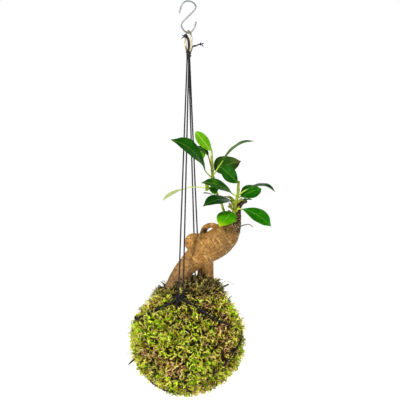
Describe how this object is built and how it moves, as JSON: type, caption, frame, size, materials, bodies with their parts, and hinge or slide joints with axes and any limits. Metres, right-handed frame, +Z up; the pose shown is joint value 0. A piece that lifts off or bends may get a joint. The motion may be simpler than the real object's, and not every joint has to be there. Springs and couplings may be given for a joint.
{
  "type": "hanging kokedama moss ball plant",
  "caption": "Fig with a swollen tan trunk and glossy green leaves growing from a soil ball wrapped in shaggy moss, netted in black cord and hung from a brass ring on an S-hook.",
  "frame": {"origin": "inside top of the S-hook's upper bend, where it sits on a rail", "axes": "+Z up along the hanging cords, -Y towards the viewer, +X to the side the trunk leans to"},
  "size_m": [0.1815, 0.1487, 0.4915],
  "materials": {
    "steel": "bright drawn wire, lightly polished",
    "brass": "polished pale brass wire",
    "cord": "black waxed cord, satin",
    "moss": "shaggy dried and living moss, matte, yellow-green with brown and straw",
    "soil": "dark crumbly potting loam, matte",
    "bark": "smooth tan bark with pale lenticels, rough and dark on the neck",
    "shoot": "smooth yellow-green shoot, satin",
    "leaf_dark": "dark green waxy leaf, semi-gloss",
    "leaf_mid": "mid green waxy leaf, semi-gloss",
    "leaf_young": "bright young leaf, semi-gloss",
    "leaf_pale": "pale thin leaf, satin"
  },
  "bodies": {
    "root": {"s_hook": "steel", "brass_ring": "brass", "top_knot": "cord", "string_front_left": "cord", "string_front_right": "cord", "string_rear_left": "cord", "string_rear_right": "cord", "knot_front": "cord", "knot_rear": "cord", "sling_front_left": "cord", "sling_front_right": "cord", "sling_rear_left": "cord", "sling_rear_right": "cord", "net_cradle": "cord", "moss_cover": "moss", "soil_core": "soil", "trunk": "bark", "stem_front": "shoot", "stem_back": "shoot", "leaf_01": "leaf_dark", "leaf_02": "leaf_young", "leaf_03": "leaf_dark", "leaf_04": "leaf_young", "leaf_05": "leaf_dark", "leaf_06": "leaf_dark", "leaf_07": "leaf_mid", "leaf_08": "leaf_dark", "leaf_09": "leaf_mid", "leaf_10": "leaf_pale", "leaf_11": "leaf_dark", "leaf_12": "leaf_dark", "leaf_13": "leaf_mid", "leaf_14": "leaf_mid", "leaf_15": "leaf_dark", "leaf_16": "leaf_mid", "leaf_17": "leaf_dark"}
  },
  "joints": []
}
